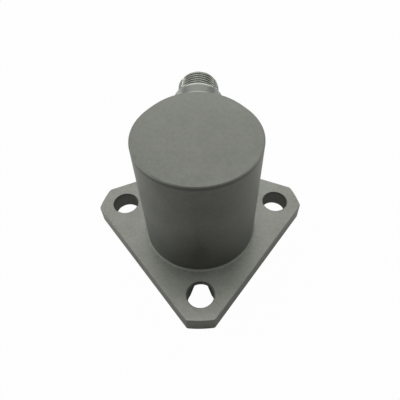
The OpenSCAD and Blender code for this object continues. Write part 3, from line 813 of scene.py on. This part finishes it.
for piece, node, slot in (
    (housing(), "housing", "body_steel"),
    (connector_shell(), "connector_shell", "connector_steel"),
    (weld(), "connector_weld", "weld_steel"),
):
    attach(piece, "root")
    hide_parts(node)

slots = {part["node"]: part["material_slot"] for part in frame["record"]["subparts"]}
for node, slot in slots.items():
    solid = frame["nodes"][node]
    for place in solid.material_slots:
        place.material = FINISHES[slot]


# ---------------------------------------------------------------- floor, light and camera

# In metres: the floor's height and half its width, and the spot that the lamps point at
FLOOR_Z, FLOOR_HALF = -0.00005, 1.5
LAMP_AIM = Vector((0, 0, 0.02))

# The photograph's camera, solved from the outlines in its picture. In pixels: the picture's width,
# where the lens's axis meets it, and the lens length. Then the turns in degrees and the place.
PHOTO_SIZE = 400
MIDDLE_PX, LENS_PX = (215.69, 210.07), 387.81
CAMERA_YAW, CAMERA_PITCH, CAMERA_ROLL = -1.872, 52.466, 0.71
CAMERA_AT = Vector((2.1615, -64.698, 95.55))


def stage_material():
    """Pale floor: white where the camera sees it. Metal sees it darker, most of all towards the
    front
    and close to the object: painted shade in its reflections, for the object's shadow close to it
    and darker surroundings in front."""
    floor = Finish("pale_floor", Metallic=0.0, Roughness=0.9)
    floor.feed("Base Color", floor.blend(
        floor.noise(40.0, 2.0), (0.38, 0.38, 0.37, 1), (0.42, 0.42, 0.41, 1)))
    straight, mirrored = floor.rays()
    x, y, _ = floor.axes()
    reach = away_from(x, y) + 1.0
    # Painted shade for metal: darker towards the front and close to the object.
    bright = (0.28 + 0.23 * (y / reach)) * (0.2 + 0.8 * reach.between(20.0, 50.0))
    seen = straight * 0.98 + mirrored * bright
    glow = floor.place("ShaderNodeEmission", {}, {"Color": (1, 1, 1, 1), "Strength": 1.0})
    mix = floor.place("ShaderNodeMixShader", {}, {0: seen.least(1.0)})
    floor.tree.links.new(floor.shader.outputs[0], mix.inputs[1])
    floor.tree.links.new(glow.outputs[0], mix.inputs[2])
    floor.tree.links.new(mix.outputs[0], floor.out.inputs[0])
    return floor.material


def make_floor():
    skin = bmesh.new()
    bmesh.ops.create_grid(skin, x_segments=1, y_segments=1, size=FLOOR_HALF)
    for v in skin.verts:
        v.co.z = FLOOR_Z
    mesh = bpy.data.meshes.new("floor")
    skin.to_mesh(mesh)
    skin.free()
    mesh.materials.append(stage_material())
    floor = add("floor", mesh)


def soft_lamp(name, place, size, watts, wide=1.0):
    """A soft lamp that points at the object, this many times as wide as it is high."""
    lamp = bpy.data.lights.new(name, "AREA")
    lamp.shape = "RECTANGLE"
    lamp.size, lamp.size_y = size * wide, size
    lamp.energy = watts
    holder = add(name, lamp)
    holder.location = place
    holder.rotation_euler = (LAMP_AIM - Vector(place)).to_track_quat("-Z", "Y").to_euler()


def make_world():
    """White where the camera sees it, a little light from all round, and more in metal."""
    world = bpy.data.worlds.new("studio")
    bpy.context.scene.world = world
    world.use_nodes = True
    bench = Bench(world.node_tree)
    bench.tree.nodes.clear()
    straight, mirrored = bench.rays()
    seen = (straight + mirrored * 0.4).least(1.0)
    sky = bench.node("ShaderNodeBackground", {}, {
        "Color": (1, 1, 1, 1), "Strength": 0.25 + 0.75 * seen})
    bench.place("ShaderNodeOutputWorld", {}, {0: sky})


def make_camera():
    """The photograph's view: from the front, a little to the right, and 52 degrees above."""
    yaw, pitch, roll = (radians(turn) for turn in (CAMERA_YAW, CAMERA_PITCH, CAMERA_ROLL))
    ahead = Vector((-sin(yaw) * cos(pitch), cos(yaw) * cos(pitch), -sin(pitch)))
    level = Vector((cos(yaw), sin(yaw), 0))
    up = level.cross(ahead)
    right = cos(roll) * level + sin(roll) * up
    upright = cos(roll) * up - sin(roll) * level
    lens = bpy.data.cameras.new("view")
    lens.sensor_width = 36.0
    lens.sensor_fit = "HORIZONTAL"
    lens.lens = LENS_PX * lens.sensor_width / PHOTO_SIZE
    lens.shift_x = 0.5 - MIDDLE_PX[0] / PHOTO_SIZE
    lens.shift_y = MIDDLE_PX[1] / PHOTO_SIZE - 0.5
    lens.clip_start = 0.005
    camera = add("view", lens)
    turn = Matrix((right, upright, -ahead)).transposed().to_4x4()
    camera.matrix_world = Matrix.Translation(CAMERA_AT * MM) @ turn
    bpy.context.scene.camera = camera


make_floor()
make_world()
soft_lamp("over", (0.0, 0.1, 0.6), 0.4, 0.92)
soft_lamp("back", (0.0, 0.5, 0.25), 0.4, 0.75, 1.2)
soft_lamp("left", (-0.55, 0.12, 0.12), 0.2, 3.9, 4.0)
soft_lamp("right", (0.55, 0.12, 0.12), 0.2, 2.3, 4.0)
make_camera()
bpy.context.scene.view_settings.view_transform = "Standard"
